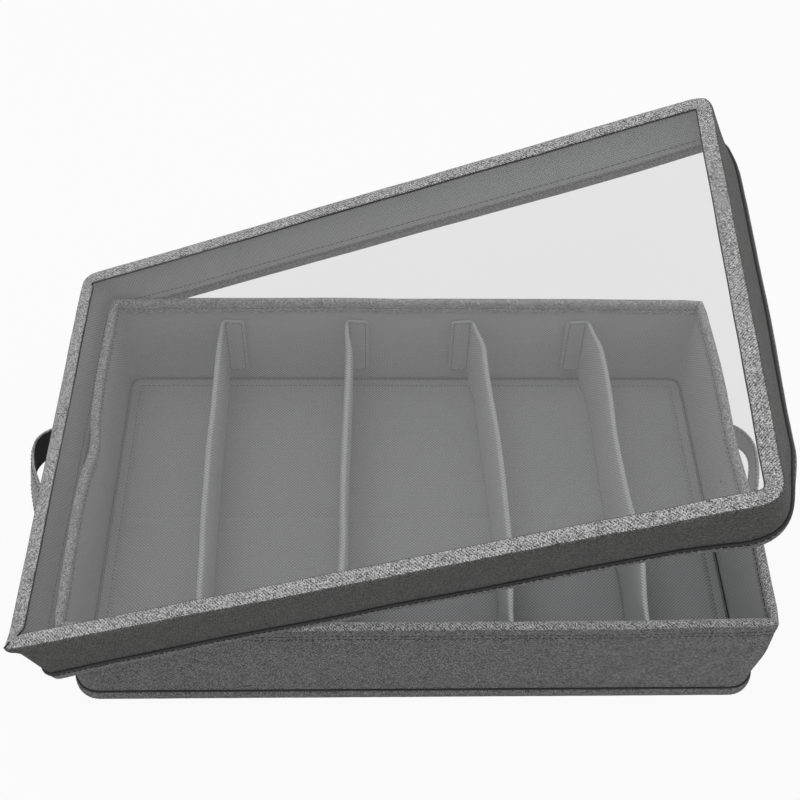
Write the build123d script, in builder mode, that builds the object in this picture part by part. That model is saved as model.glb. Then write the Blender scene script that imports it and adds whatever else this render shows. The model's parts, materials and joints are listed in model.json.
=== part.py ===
from build123d import *
from math import radians, sin, cos
import os

# Silverware chest: a board-stiffened fabric tray with four re-stickable dividers, a folding
# floor mat, a carrying strap on each end and a lift-off lid with a clear window.
# Origin at the centre of the underside, +X along the long side, +Y to the back, +Z up.
# Millimetres. The lid is made where it stands open, tipped up on its left end.

# ---- driving dimensions: tray ----
box_length = 394.0
box_depth = 254.0
box_height = 76.0
corner_radius = 14.0
cover_thickness = 1.0
wall_board_thickness = 2.0
lining_thickness = 0.8
rim_roll = 2.4              # cloth folded over the top of the boards
rim_band_height = 10.0      # how far the cover turns down inside
base_cloth_thickness = 1.0
binding_height = 7.5        # bound edge round the base
binding_proud = 1.2
seam_gap = 0.3              # groove between the cover and the bound edge
crease_gap = 3.0            # bare cloth between two boards, where the tray folds
board_corner = 5.0          # cut corners of the wall boards
fold_round = 0.8            # share of a folded cloth's thickness that its outer edge rounds off

# ---- driving dimensions: floor mat ----
mat_clearance = 0.5
mat_cloth_thickness = 0.7
mat_board_thickness = 2.0
mat_hem = 10.0              # flat stitched border outside the boards
mat_shoulder = 1.2          # slope from the border up on to the boards
fold_groove_depth = 0.9

# ---- driving dimensions: dividers ----
divider_cloth_thickness = 0.7
divider_board_thickness = 1.3
divider_drop = 16.0         # from the tray's rim down to a divider's top
divider_clearance = 0.3     # running gap to the mat and to the wall lining
flap_length = 15.0
flap_lift = 7.5             # the flaps stop short of the floor
flap_fold_radius = 3.0
flap_root = 8.0             # length of flap cloth that lies along the panel
divider_toe_radius = 6.0
hook_thickness = 1.2
hook_width = 9.0
hook_margin = 5.0           # bare flap above and below the tape
hook_inset = 0.3            # from the flap's free edge
hook_corner_radius = 1.5
board_end_gap = 7.0         # panel board stops short of the fold
divider_1_back_x = -125.0   # where each divider's top meets the back wall and the front wall
divider_1_front_x = -122.0
divider_2_back_x = -42.0
divider_2_front_x = -45.0
divider_3_back_x = 43.0
divider_3_front_x = 52.0
divider_4_back_x = 121.0
divider_4_front_x = 128.0

# ---- driving dimensions: end handles ----
strap_width = 23.0
strap_thickness = 1.6
strap_span = 100.0          # between the two sewn ends
strap_bow = 38.0            # how far the loop stands off the wall
strap_lift = 28.0           # degrees: the loop stands up from level
strap_drop = 5.2            # from the closed lid's hem down to the strap's upper edge
strap_flare = 0.45          # how steeply the loop leaves the wall
strap_tab_length = 15.0
strap_clearance = 0.4

# ---- driving dimensions: lid ----
lid_clearance = 6.0         # between the tray and the inside of the lid, each side
lid_height = 42.0
lid_corner_radius = 13.0
lid_border = 12.0           # cloth frame round the window
lid_board_thickness = 1.3
lid_lining_thickness = 0.7
lid_window_thickness = 0.5
lid_seat_gap = 0.3          # under the window frame, over the rim, when closed
window_corner_radius = 4.0
lid_binding_height = 7.0
lid_binding_outer = 0.7
lid_binding_inner = 0.3
lid_binding_under = 0.8
lid_open_angle = 23.4       # degrees from closed to where it stands
hinge_outset = 18.0         # the lid tips about a line this far beyond the left end
hinge_rise = 7.2            # and this far above its closed hem
hinge_direction = Vector(0.1586, -1.0, -0.104)

# ---- worked-out sizes: tray ----
wall_thickness = cover_thickness + wall_board_thickness + lining_thickness
board_line = cover_thickness + wall_board_thickness      # outside of the lining, from the outside
inner_length = box_length - 2 * wall_thickness
inner_depth = box_depth - 2 * wall_thickness
board_top = box_height - rim_roll
wall_board_height = board_top - base_cloth_thickness

# ---- worked-out sizes: floor mat ----
mat_length = inner_length - 2 * mat_clearance
mat_depth = inner_depth - 2 * mat_clearance
mat_corner_radius = corner_radius - wall_thickness - mat_clearance
mat_board_bottom = base_cloth_thickness + mat_cloth_thickness
mat_board_top = mat_board_bottom + mat_board_thickness
mat_board_length = mat_length - 2 * mat_hem
mat_board_depth = (mat_depth - 2 * mat_hem - crease_gap) / 2
floor_top = mat_board_top + mat_cloth_thickness

# ---- worked-out sizes: dividers ----
divider_top = box_height - divider_drop
divider_thickness = divider_board_thickness + 2 * divider_cloth_thickness
flap_thickness = 2 * divider_cloth_thickness
divider_bottom = floor_top + divider_clearance
divider_height = divider_top - divider_bottom
hook_line = inner_depth / 2 - divider_clearance          # wall side of the hook tape
flap_line = hook_line - hook_thickness - flap_thickness / 2
flap_bottom = floor_top + flap_lift
flap_middle = (flap_bottom + divider_top) / 2
hook_height = divider_top - flap_bottom - 2 * hook_margin
panel_reach = flap_line - flap_fold_radius
board_reach = flap_line - board_end_gap

# ---- worked-out sizes: lid ----
skirt_thickness = cover_thickness + lid_board_thickness + lid_lining_thickness
frame_thickness = cover_thickness + lid_window_thickness + lid_lining_thickness
lid_length = box_length + 2 * lid_clearance + 2 * skirt_thickness
lid_depth = box_depth + 2 * lid_clearance + 2 * skirt_thickness
lid_inner_length = lid_length - 2 * skirt_thickness
lid_inner_depth = lid_depth - 2 * skirt_thickness
lid_inner_radius = lid_corner_radius - skirt_thickness
lid_hem_height = box_height + lid_seat_gap + frame_thickness - lid_height
hinge_point = Vector(-box_length / 2 - hinge_outset, 0, lid_hem_height + hinge_rise)

# ---- worked-out sizes: end handles ----
strap_top = lid_hem_height - strap_drop
strap_middle = strap_top - strap_width / 2

os.makedirs("parts", exist_ok=True)


def band(plane, length, depth, radius, wall):
    """A rounded rectangular band lying on a plane, its size taken outside."""
    with BuildSketch(plane) as outline:
        RectangleRounded(length, depth, radius)
        RectangleRounded(length - 2 * wall, depth - 2 * wall, radius - wall, mode=Mode.SUBTRACT)
    return outline.sketch


def sheet(plane, length, depth, radius):
    """A rounded rectangle lying on a plane."""
    with BuildSketch(plane) as outline:
        RectangleRounded(length, depth, radius)
    return outline.sketch


def outer_edges(builder, axis):
    """The outer edges of the faces that look along an axis."""
    edges = ShapeList()
    for face in builder.faces().filter_by(axis):
        edges += face.outer_wire().edges()
    return edges


# ======== tray: sewn cloth ========
with BuildPart() as base_panel:
    panel_length = box_length - 2 * cover_thickness
    panel_depth = box_depth - 2 * cover_thickness
    panel_radius = corner_radius - cover_thickness
    extrude(sheet(Plane.XY, panel_length, panel_depth, panel_radius), amount=base_cloth_thickness)
base_panel.part.label = "base_panel"
export_step(base_panel.part, "parts/base_panel.step")

with BuildPart() as base_binding:
    binding_length = box_length + 2 * binding_proud
    binding_depth = box_depth + 2 * binding_proud
    binding_radius = corner_radius + binding_proud
    binding_wall = binding_proud + cover_thickness
    binding_profile = band(Plane.XY, binding_length, binding_depth, binding_radius, binding_wall)
    extrude(binding_profile, amount=binding_height - seam_gap)
    chamfer(outer_edges(base_binding, Axis.Z), binding_proud * fold_round)
base_binding.part.label = "base_binding"
export_step(base_binding.part, "parts/base_binding.step")

# One cloth: up the outside, rolled over the boards and turned down inside as the rim band.
with BuildPart() as outer_cover:
    cover_foot = Plane.XY.offset(binding_height)
    roll_foot = Plane.XY.offset(board_top)
    band_foot = Plane.XY.offset(box_height - rim_band_height)
    cover_profile = band(cover_foot, box_length, box_depth, corner_radius, cover_thickness)
    extrude(cover_profile, amount=box_height - binding_height)
    roll_width = wall_thickness + cover_thickness
    roll_profile = band(roll_foot, box_length, box_depth, corner_radius, roll_width)
    extrude(roll_profile, amount=rim_roll)
    inner_radius = corner_radius - wall_thickness
    band_profile = band(band_foot, inner_length, inner_depth, inner_radius, cover_thickness)
    extrude(band_profile, amount=rim_band_height)
    rim_face = outer_cover.faces().filter_by(Axis.Z).sort_by(Axis.Z)[-1]
    fillet(rim_face.edges(), rim_roll * fold_round)
outer_cover.part.label = "outer_cover"
export_step(outer_cover.part, "parts/outer_cover.step")

with BuildPart() as wall_lining:
    lining_foot = Plane.XY.offset(base_cloth_thickness)
    lining_length = box_length - 2 * board_line
    lining_depth = box_depth - 2 * board_line
    lining_radius = corner_radius - board_line
    lining_profile = band(lining_foot, lining_length, lining_depth, lining_radius, lining_thickness)
    extrude(lining_profile, amount=wall_board_height)
wall_lining.part.label = "wall_lining"
export_step(wall_lining.part, "parts/wall_lining.step")

# ======== tray: boards ========
# Each wall board is a die-cut card between the cover and the lining. The long walls have one
# each. The end walls have two, with a bare crease between them, so that the tray folds flat.
board_middle = base_cloth_thickness + wall_board_height / 2
long_board_length = box_length - 2 * corner_radius
for board_name, side in (("front_wall_board", -1), ("back_wall_board", 1)):
    with BuildPart() as wall_board:
        board_face = side * (box_depth / 2 - cover_thickness)
        board_plane = Plane(origin=(0, board_face, board_middle), x_dir=(1, 0, 0), z_dir=(0, -side, 0))
        with BuildSketch(board_plane):
            Rectangle(long_board_length, wall_board_height)
            chamfer(vertices(), board_corner)
        extrude(amount=wall_board_thickness)
    wall_board.part.label = board_name
    export_step(wall_board.part, f"parts/{board_name}.step")

end_board_length = (box_depth - 2 * corner_radius - crease_gap) / 2
end_board_place = (end_board_length + crease_gap) / 2
for board_name, side in (("left_wall_boards", -1), ("right_wall_boards", 1)):
    with BuildPart() as wall_board:
        board_face = side * (box_length / 2 - cover_thickness)
        board_plane = Plane(origin=(board_face, 0, board_middle), x_dir=(0, 1, 0), z_dir=(-side, 0, 0))
        with BuildSketch(board_plane):
            with Locations((-end_board_place, 0), (end_board_place, 0)):
                Rectangle(end_board_length, wall_board_height)
            chamfer(vertices(), board_corner)
        extrude(amount=wall_board_thickness)
    wall_board.part.label = board_name
    export_step(wall_board.part, f"parts/{board_name}.step")

# ======== floor mat ========
# Two boards sewn into a cloth envelope, with a flat stitched border and a fold across the middle.
with BuildPart() as floor_mat_backing:
    backing_plane = Plane.XY.offset(base_cloth_thickness)
    extrude(sheet(backing_plane, mat_length, mat_depth, mat_corner_radius), amount=mat_cloth_thickness)
floor_mat_backing.part.label = "floor_mat_backing"
export_step(floor_mat_backing.part, "parts/floor_mat_backing.step")

mat_board_plane = Plane.XY.offset(mat_board_bottom)
mat_board_place = (mat_board_depth + crease_gap) / 2
for board_name, side in (("floor_mat_front_board", -1), ("floor_mat_back_board", 1)):
    with BuildPart() as mat_board:
        with BuildSketch(mat_board_plane):
            with Locations((0, side * mat_board_place)):
                Rectangle(mat_board_length, mat_board_depth)
        extrude(amount=mat_board_thickness)
    mat_board.part.label = board_name
    export_step(mat_board.part, f"parts/{board_name}.step")

with BuildPart() as floor_mat_cover:
    extrude(sheet(mat_board_plane, mat_length, mat_depth, mat_corner_radius), amount=mat_cloth_thickness)
    crown_foot = Plane.XY.offset(mat_board_bottom + mat_cloth_thickness)
    crown_top = Plane.XY.offset(floor_top)
    crown_length = mat_board_length + 2 * mat_cloth_thickness
    crown_depth = mat_depth - 2 * mat_hem + 2 * mat_cloth_thickness
    with BuildSketch(crown_foot):
        Rectangle(crown_length + 2 * mat_shoulder, crown_depth + 2 * mat_shoulder)
    with BuildSketch(crown_top):
        Rectangle(crown_length, crown_depth)
    loft()
    with BuildSketch(mat_board_plane):
        with Locations((0, -mat_board_place), (0, mat_board_place)):
            Rectangle(mat_board_length, mat_board_depth)
    extrude(amount=mat_board_thickness, mode=Mode.SUBTRACT)
    with BuildSketch(Plane.YZ.offset(-mat_length / 2)):
        with BuildLine():
            Polyline(
                (-crease_gap / 2, floor_top),
                (0, floor_top - fold_groove_depth),
                (crease_gap / 2, floor_top),
                close=True,
            )
        make_face()
    extrude(amount=mat_length, mode=Mode.SUBTRACT)
floor_mat_cover.part.label = "floor_mat_cover"
export_step(floor_mat_cover.part, "parts/floor_mat_cover.step")

# ======== dividers ========
# Each divider: its place on the back wall and on the front wall, and which way its end flaps
# turn. The owner presses them on wherever the cutlery needs them.
divider_places = {
    "divider_1": (divider_1_back_x, divider_1_front_x, 1),
    "divider_2": (divider_2_back_x, divider_2_front_x, 1),
    "divider_3": (divider_3_back_x, divider_3_front_x, -1),
    "divider_4": (divider_4_back_x, divider_4_front_x, -1),
}
for divider_name, (back_x, front_x, turn) in divider_places.items():
    middle_x = (back_x + front_x) / 2
    lean = (back_x - front_x) / (2 * flap_line)

    # a stiff card, open to the floor, inside the folded cloth
    with BuildPart() as divider_board:
        with BuildSketch(Plane.XY.offset(divider_bottom)):
            with BuildLine():
                Line(
                    (middle_x + lean * board_reach, board_reach),
                    (middle_x - lean * board_reach, -board_reach),
                )
            trace(line_width=divider_board_thickness)
        extrude(amount=divider_height - divider_cloth_thickness)
    divider_board.part.label = f"{divider_name}_board"
    export_step(divider_board.part, f"parts/{divider_name}_board.step")

    # the cloth: a padded panel that turns into a flat flap at each end
    with BuildPart() as divider_cover:
        with BuildSketch(Plane.XY.offset(divider_bottom)):
            with BuildLine():
                Line(
                    (middle_x + lean * panel_reach, panel_reach),
                    (middle_x - lean * panel_reach, -panel_reach),
                )
            trace(line_width=divider_thickness)
        extrude(amount=divider_height)
        toe_edges = divider_cover.edges().group_by(Axis.Z)[0].group_by(SortBy.LENGTH)[0]
        fillet(toe_edges, divider_toe_radius)
        with BuildSketch(Plane.XY.offset(flap_bottom)):
            for end, wall_x in ((1, back_x), (-1, front_x)):
                with BuildLine():
                    FilletPolyline(
                        (wall_x - end * lean * flap_root, end * (flap_line - flap_root)),
                        (wall_x, end * flap_line),
                        (wall_x + turn * flap_length, end * flap_line),
                        radius=flap_fold_radius,
                    )
                trace(line_width=flap_thickness)
        extrude(amount=divider_top - flap_bottom)
        add(divider_board.part, mode=Mode.SUBTRACT)
    divider_cover.part.label = f"{divider_name}_cover"
    export_step(divider_cover.part, f"parts/{divider_name}_cover.step")

    # one strip of hook tape on the wall side of each flap
    with BuildPart() as divider_hook_tapes:
        for end, wall_x in ((1, back_x), (-1, front_x)):
            tape_x = wall_x + turn * (flap_length - hook_width / 2 - hook_inset)
            tape_plane = Plane(
                origin=(tape_x, end * hook_line, flap_middle), x_dir=(1, 0, 0), z_dir=(0, -end, 0)
            )
            with BuildSketch(tape_plane):
                RectangleRounded(hook_width, hook_height, hook_corner_radius)
            extrude(amount=hook_thickness)
    divider_hook_tapes.part.label = f"{divider_name}_hook_tapes"
    export_step(divider_hook_tapes.part, f"parts/{divider_name}_hook_tapes.step")

# ======== end handles ========
# A cloth strap across each end wall: both ends are sewn flat to the wall, and the loop between
# them stands off it, tilted up. The loop turns about the strap's upper edge.
for side_name, side in (("left", -1), ("right", 1)):
    wall_face = side * box_length / 2
    with BuildPart() as strap_tabs:
        tab_plane = Plane(origin=(wall_face, 0, strap_middle), x_dir=(0, 1, 0), z_dir=(side, 0, 0))
        with BuildSketch(tab_plane):
            tab_place = (strap_span + strap_tab_length) / 2
            with Locations((-tab_place, 0), (tab_place, 0)):
                Rectangle(strap_tab_length, strap_width)
        extrude(amount=strap_thickness)
    strap_tabs.part.label = f"{side_name}_handle_tabs"
    export_step(strap_tabs.part, f"parts/{side_name}_handle_tabs.step")

    with BuildPart() as strap_loop:
        loop_plane = Plane(
            origin=(wall_face + side * (strap_clearance + strap_thickness / 2), 0, strap_top),
            x_dir=(side * cos(radians(strap_lift)), 0, sin(radians(strap_lift))),
            z_dir=(side * sin(radians(strap_lift)), 0, -cos(radians(strap_lift))),
        )
        with BuildSketch(loop_plane):
            with BuildLine():
                half_span = strap_span / 2 - strap_clearance
                Spline(
                    (0, -half_span),
                    (strap_bow, 0),
                    (0, half_span),
                    tangents=((strap_flare, 1), (0, 1), (-strap_flare, 1)),
                )
            trace(line_width=strap_thickness)
        extrude(amount=strap_width)
    strap_loop.part.label = f"{side_name}_handle_strap"
    export_step(strap_loop.part, f"parts/{side_name}_handle_strap.step")

# ======== lid ========
# Made on the plane of its hem, which swings from closed to where the lid stands open.
hinge_frame = Plane(origin=hinge_point, z_dir=hinge_direction)
swing = hinge_frame.location * Location((0, 0, 0), (0, 0, lid_open_angle)) * hinge_frame.location.inverse()
lid_hem_plane = Plane(swing * Plane.XY.offset(lid_hem_height).location)
frame_bottom = lid_height - frame_thickness
lid_up = Axis(lid_hem_plane.origin, lid_hem_plane.z_dir)

# outside cloth: the skirt and the frame round the window, in one
with BuildPart() as lid_cover:
    skirt_plane = lid_hem_plane.offset(lid_binding_under)
    skirt_profile = band(skirt_plane, lid_length, lid_depth, lid_corner_radius, cover_thickness)
    extrude(skirt_profile, amount=lid_height - lid_binding_under)
    border_plane = lid_hem_plane.offset(lid_height - cover_thickness)
    with BuildSketch(border_plane):
        RectangleRounded(lid_length, lid_depth, lid_corner_radius)
        RectangleRounded(
            lid_length - 2 * lid_border,
            lid_depth - 2 * lid_border,
            window_corner_radius,
            mode=Mode.SUBTRACT,
        )
    extrude(amount=cover_thickness)
    top_face = lid_cover.faces().filter_by(lid_up).sort_by(lid_up)[-1]
    fillet(top_face.outer_wire().edges(), cover_thickness * fold_round)
lid_cover.part.label = "lid_cover"
export_step(lid_cover.part, "parts/lid_cover.step")

with BuildPart() as lid_window:
    window_plane = lid_hem_plane.offset(lid_height - cover_thickness - lid_window_thickness)
    window_sheet = sheet(window_plane, lid_inner_length, lid_inner_depth, lid_inner_radius)
    extrude(window_sheet, amount=lid_window_thickness)
lid_window.part.label = "lid_window"
export_step(lid_window.part, "parts/lid_window.step")

# inside cloth: up the skirt and under the frame
with BuildPart() as lid_lining:
    lid_lining_profile = band(
        skirt_plane,
        lid_inner_length + 2 * lid_lining_thickness,
        lid_inner_depth + 2 * lid_lining_thickness,
        lid_inner_radius + lid_lining_thickness,
        lid_lining_thickness,
    )
    extrude(lid_lining_profile, amount=lid_height - cover_thickness - lid_binding_under)
    with BuildSketch(lid_hem_plane.offset(frame_bottom)):
        RectangleRounded(lid_inner_length, lid_inner_depth, lid_inner_radius)
        RectangleRounded(
            lid_length - 2 * lid_border,
            lid_depth - 2 * lid_border,
            window_corner_radius,
            mode=Mode.SUBTRACT,
        )
    extrude(amount=lid_lining_thickness)
lid_lining.part.label = "lid_lining"
export_step(lid_lining.part, "parts/lid_lining.step")

# bound hem: a folded tape that closes the lower edge of the skirt, inside and out
with BuildPart() as lid_hem_binding:
    hem_length = lid_length + 2 * lid_binding_outer
    hem_depth = lid_depth + 2 * lid_binding_outer
    hem_radius = lid_corner_radius + lid_binding_outer
    hem_wall = lid_binding_outer + skirt_thickness + lid_binding_inner
    extrude(band(lid_hem_plane, hem_length, hem_depth, hem_radius, hem_wall), amount=lid_binding_height)
    channel_profile = band(skirt_plane, lid_length, lid_depth, lid_corner_radius, skirt_thickness)
    extrude(channel_profile, amount=lid_binding_height, mode=Mode.SUBTRACT)
    hem_face = lid_hem_binding.faces().filter_by(lid_up).sort_by(lid_up)[0]
    fillet(hem_face.outer_wire().edges(), lid_binding_outer * fold_round)
lid_hem_binding.part.label = "lid_hem_binding"
export_step(lid_hem_binding.part, "parts/lid_hem_binding.step")

# one card in each side of the skirt
lid_board_height = lid_height - cover_thickness - lid_binding_under
lid_board_foot = lid_hem_plane.offset(lid_binding_under)
lid_long_board = lid_length - 2 * lid_corner_radius
lid_end_board = lid_depth - 2 * lid_corner_radius
lid_board_inset = cover_thickness + lid_board_thickness / 2
lid_boards = (
    ("lid_front_board", 0, -1),
    ("lid_back_board", 0, 1),
    ("lid_left_board", -1, 0),
    ("lid_right_board", 1, 0),
)
for board_name, end, side in lid_boards:
    with BuildPart() as lid_board:
        with BuildSketch(lid_board_foot):
            board_x = end * (lid_length / 2 - lid_board_inset)
            board_y = side * (lid_depth / 2 - lid_board_inset)
            with Locations((board_x, board_y)):
                if side:
                    Rectangle(lid_long_board, lid_board_thickness)
                else:
                    Rectangle(lid_board_thickness, lid_end_board)
        extrude(amount=lid_board_height)
    lid_board.part.label = board_name
    export_step(lid_board.part, f"parts/{board_name}.step")
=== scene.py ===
# %% [markdown]
# # A soft silverware chest
# The chest is a cloth tray stiffened with card, with four dividers that are pressed on with hook
# tape, a floor mat, a strap on each end and a lid with a clear window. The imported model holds
# every piece at its real size. Here each cloth piece is made again as cloth: a little uneven,
# sewn, creased where it folds, and woven.

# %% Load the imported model
import json
from math import cos, exp, hypot, pi, radians, sin, sqrt

import bmesh
import bpy
from mathutils import Matrix, Vector, noise


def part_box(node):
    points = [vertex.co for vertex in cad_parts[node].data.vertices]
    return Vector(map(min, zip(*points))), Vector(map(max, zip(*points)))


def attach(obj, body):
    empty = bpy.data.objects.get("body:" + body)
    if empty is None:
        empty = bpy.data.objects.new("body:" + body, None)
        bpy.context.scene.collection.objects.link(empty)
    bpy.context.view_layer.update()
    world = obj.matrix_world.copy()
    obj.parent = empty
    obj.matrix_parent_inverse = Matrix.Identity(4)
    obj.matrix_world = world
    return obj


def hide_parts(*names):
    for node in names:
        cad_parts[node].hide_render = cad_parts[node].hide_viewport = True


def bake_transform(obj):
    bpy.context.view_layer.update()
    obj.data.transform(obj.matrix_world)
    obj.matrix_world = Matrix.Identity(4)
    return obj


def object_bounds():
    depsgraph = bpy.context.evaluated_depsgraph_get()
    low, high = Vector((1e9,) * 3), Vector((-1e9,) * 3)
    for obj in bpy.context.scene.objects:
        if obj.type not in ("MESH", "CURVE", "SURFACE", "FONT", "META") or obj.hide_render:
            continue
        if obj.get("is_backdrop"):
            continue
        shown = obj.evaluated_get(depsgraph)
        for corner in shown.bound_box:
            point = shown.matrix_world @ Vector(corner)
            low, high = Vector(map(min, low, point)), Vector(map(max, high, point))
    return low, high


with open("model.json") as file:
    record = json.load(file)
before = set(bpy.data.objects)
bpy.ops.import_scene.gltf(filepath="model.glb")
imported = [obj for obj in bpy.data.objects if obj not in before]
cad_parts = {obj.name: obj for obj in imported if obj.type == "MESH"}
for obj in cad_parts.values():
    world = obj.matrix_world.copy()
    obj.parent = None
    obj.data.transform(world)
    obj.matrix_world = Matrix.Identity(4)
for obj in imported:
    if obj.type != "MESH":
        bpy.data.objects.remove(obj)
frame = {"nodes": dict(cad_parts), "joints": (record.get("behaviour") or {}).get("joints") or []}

cad_low, cad_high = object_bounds()
nodes = frame["nodes"]
joints = {joint["name"]: joint for joint in frame["joints"]}
MM = 0.001

# %% [markdown]
# ## The camera
# The camera looks down on the chest from the front, as someone does who is about to lay cutlery
# in it. It stands still, and a small shift slides the picture without tilting the walls.

# %% Camera
picture_width = 800                         # pixels, the same high as wide
focal_length = 1289.5                       # pixels
axis_pixel = (405, 453)                     # where the lens axis meets the picture
camera_place = Vector((-0.0296, -0.4959, 0.6713))
look_down, look_right, tilt = radians(50.52), radians(2.78), radians(2.11)

camera_data = bpy.data.cameras.new("front_view")
camera_data.lens = camera_data.sensor_width * focal_length / picture_width
camera_data.shift_x = 0.5 - axis_pixel[0] / picture_width
camera_data.shift_y = axis_pixel[1] / picture_width - 0.5
camera = bpy.data.objects.new("front_view", camera_data)
bpy.context.scene.collection.objects.link(camera)
bpy.context.scene.camera = camera

forward = Vector((sin(look_right) * cos(look_down), cos(look_right) * cos(look_down), -sin(look_down)))
level_right = forward.cross(Vector((0, 0, 1))).normalized()
level_up = level_right.cross(forward)
camera_right = cos(tilt) * level_right + sin(tilt) * level_up
camera_up = cos(tilt) * level_up - sin(tilt) * level_right
turn = Matrix((camera_right, camera_up, -forward)).transposed()
camera.matrix_world = Matrix.Translation(camera_place) @ turn.to_4x4()
print("lens", round(camera_data.lens, 2), "mm")

# %% [markdown]
# ## Sizes
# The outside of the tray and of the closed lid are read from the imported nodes. The lid stands
# open in the model, so its corners are first turned back about its own joint. Every lid piece
# below is made on the closed lid and then turned open by `open_lid`.

# %% Sizes from the frame
tray_low, tray_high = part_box("outer_cover")
tray_x, tray_y, rim_z = tray_high
seam_z = tray_low.z                          # where the cover meets the bound edge at the base
tray_corner = 14 * MM
wall_depth = 3.8 * MM                        # cover, board and lining together
cloth = 1.0 * MM
lining = 0.8 * MM
board_out, board_in = cloth, wall_depth - lining

tip = joints["lid_tip"]
tip_point, tip_axis = Vector(tip["pos_m"]), Vector(tip["axis"])
tip_turn = Matrix.Rotation(radians(-tip["range_deg"][0]), 4, tip_axis)
open_lid = Matrix.Translation(tip_point) @ tip_turn @ Matrix.Translation(-tip_point)


def closed_box(name):
    """The lowest and highest corner of a lid node when the lid is shut."""
    shut = open_lid.inverted()
    places = [shut @ vert.co for vert in nodes[name].data.vertices]
    low = Vector(min(place[axis] for place in places) for axis in range(3))
    high = Vector(max(place[axis] for place in places) for axis in range(3))
    return low, high


lid_x, lid_y, lid_z = closed_box("lid_cover")[1]
hem_low, hem_high = closed_box("lid_hem_binding")
film_low = closed_box("lid_window")[0].z
hem_z = hem_low.z
lid_corner = 13 * MM
lid_border = 9 * MM
skirt_depth = 3.0 * MM
lid_cloth, lid_lining = 1.0 * MM, 0.7 * MM
print("tray", round(2 * tray_x, 4), round(2 * tray_y, 4), round(rim_z, 4))
print("closed lid", round(2 * lid_x, 4), round(2 * lid_y, 4), "hem at", round(hem_z, 4))

# %% [markdown]
# ## Cloth as a bent grid
# Almost every piece here is a strip of cloth carried round an outline, or along a line. A grid
# says that well: one direction of the grid goes round, the other follows the section of the
# strip, and each crossing is then moved to its place. The grid also brings a flat map of the
# cloth in metres, which the weave follows like real yarns. An outline is a polygon whose corners
# are rounded with the bevel operator, so that arcs are arcs.

# %% Outlines
def rounded(corners, step, closed=True):
    """Points along a polygon, every (x, y, radius) corner rounded, straight runs cut evenly."""
    bm = bmesh.new()
    verts = [bm.verts.new((x, y, 0)) for x, y, radius in corners]
    if closed:
        bm.faces.new(verts)
    else:
        for pair in zip(verts, verts[1:]):
            bm.edges.new(pair)
    for vert, (x, y, radius) in zip(verts, corners):
        if radius:
            pieces = 2 * max(2, round(radius * pi / 4 / (0.6 * step)))
            bmesh.ops.bevel(bm, geom=[vert], offset=radius, affect="VERTICES",
                            segments=pieces, profile=0.5, material=-1)
    bmesh.ops.delete(bm, geom=bm.faces[:], context="FACES_ONLY")
    for edge in bm.edges[:]:
        cuts = round(edge.calc_length() / step) - 1
        if cuts > 0:
            bmesh.ops.subdivide_edges(bm, edges=[edge], cuts=cuts)
    start = min(bm.verts, key=lambda vert: (vert.co - Vector((*corners[0][:2], 0))).length)
    run, came = [start], None
    while True:
        onward = [edge for edge in run[-1].link_edges if edge is not came]
        if not onward or onward[0].other_vert(run[-1]) is start:
            break
        came = onward[0]
        run.append(came.other_vert(run[-1]))
    points = [vert.co.copy() for vert in run]
    bm.free()
    area = sum(a.x * b.y - b.x * a.y for a, b in zip(points, points[1:] + points[:1]))
    return [points[0]] + points[:0:-1] if closed and area < 0 else points


def wall_line(half_x, half_y, radius, step=4 * MM, crease=0.0):
    """A wall's closed outline as (point, outward) pairs, with close points each side of a crease."""
    ends = [crease * share for share in (-3, -1.6, -0.8, 0, 0.8, 1.6, 3)] if crease else []
    corners = [(half_x, -half_y, radius)] + [(half_x, place, 0) for place in ends]
    corners += [(half_x, half_y, radius), (-half_x, half_y, radius)]
    corners += [(-half_x, -place, 0) for place in ends] + [(-half_x, -half_y, radius)]
    points = rounded(corners, step)
    line = []
    for before, point, after in zip(points[-1:] + points, points, points[1:] + points[:1]):
        along = (after - point).normalized() + (point - before).normalized()
        line.append((point, Vector((along.y, -along.x, 0)).normalized()))
    return line


def section(corners, step=2.5 * MM):
    """The closed section of a strip of cloth, from (out, up, radius) corners."""
    return [(point.x, point.y) for point in rounded(corners, step)]


def flat_section(outer, inner, low, high, step, turn=0):
    """The section of a flat strip between two faces and two heights, its corners turned if asked."""
    corners = (outer, low), (outer, high), (inner, high), (inner, low)
    return section([(*corner, turn) for corner in corners], step)


# %% Cloth from a grid
def lengths(points):
    """How far along a run each of its points lies."""
    total, marks = 0.0, [0.0]
    for a, b in zip(points, points[1:]):
        total += (Vector(b) - Vector(a)).length
        marks.append(total)
    return marks


def bent_grid(across, along, across_marks, along_marks, place):
    """A grid with one crossing for each pair of places; place(a, b) says where that crossing goes."""
    columns, rows = len(across) - 1, len(along) - 1
    bm = bmesh.new()
    bmesh.ops.create_grid(bm, x_segments=columns, y_segments=rows, size=0.5)
    cloth_map = bm.loops.layers.uv.new("cloth")
    crossing = {v: (round((v.co.x + 0.5) * columns), round((v.co.y + 0.5) * rows)) for v in bm.verts}
    for face in bm.faces:
        for loop in face.loops:
            i, j = crossing[loop.vert]
            loop[cloth_map].uv = (across_marks[i], along_marks[j])
    for vert, (i, j) in crossing.items():
        vert.co = place(across[i], along[j])
    return bm


def faced_out(bm):
    """Turns a closed bmesh's faces outwards, also where it is too flat for Blender to tell."""
    bmesh.ops.recalc_face_normals(bm, faces=bm.faces)
    if bm.calc_volume(signed=True) < 0:
        bmesh.ops.reverse_faces(bm, faces=bm.faces)
    return bm


def welded(bm, gap=1e-6):
    """Merges the meeting edges of a closed grid, fills open ends and turns the faces outwards."""
    bmesh.ops.remove_doubles(bm, verts=bm.verts, dist=gap)
    rims = [edge for edge in bm.edges if edge.is_boundary]
    if rims:
        bmesh.ops.holes_fill(bm, edges=rims, sides=0)
    return faced_out(bm)


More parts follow.
